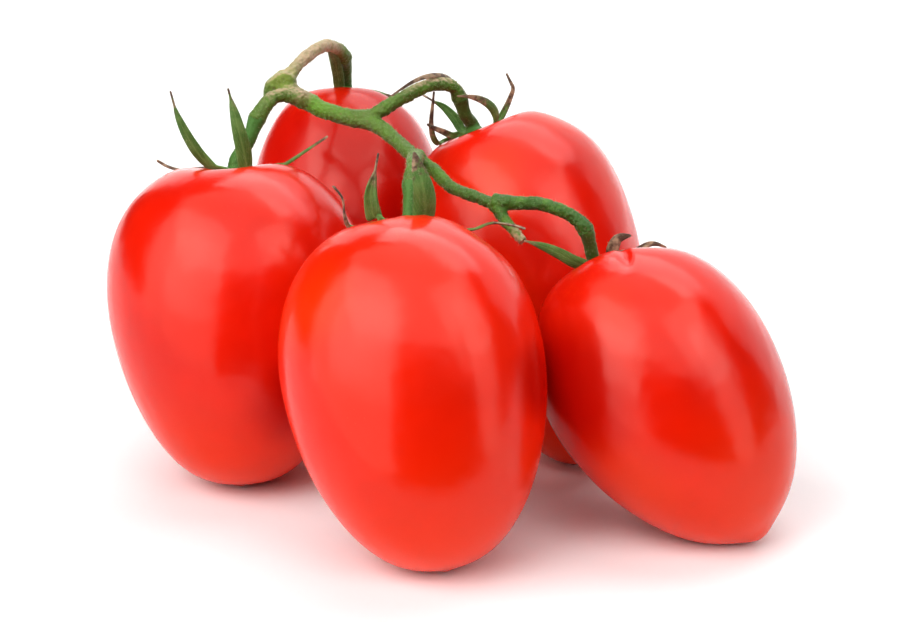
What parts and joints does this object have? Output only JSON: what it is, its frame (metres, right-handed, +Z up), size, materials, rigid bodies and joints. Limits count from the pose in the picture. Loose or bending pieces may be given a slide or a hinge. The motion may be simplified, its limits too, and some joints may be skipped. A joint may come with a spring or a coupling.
{
  "type": "truss of plum tomatoes on the vine",
  "caption": "Ripe red plum tomatoes standing together, joined by one green vine stem with curling sepals",
  "frame": {"origin": "On the table under the middle of the group's bounding box.", "axes": "+Z is up. +Y points away from the viewer, towards the back fruits. +X points right, towards the leaning right fruit. The front fruit's small flat faces -Z and lies on the table."},
  "size_m": [0.1461, 0.1498, 0.0899],
  "materials": {
    "skin": "smooth glossy red tomato skin",
    "stem": "downy green vine stem",
    "calyx": "downy dark green sepals with dried brown tips"
  },
  "bodies": {
    "root": {"tomato_left": "skin", "tomato_front": "skin", "tomato_right": "skin", "tomato_back_right": "skin", "tomato_back_left": "skin", "truss_stem": "stem", "calyx_left": "calyx", "calyx_front": "calyx", "calyx_right": "calyx", "calyx_back_right": "calyx", "calyx_back_left": "calyx"}
  },
  "joints": []
}
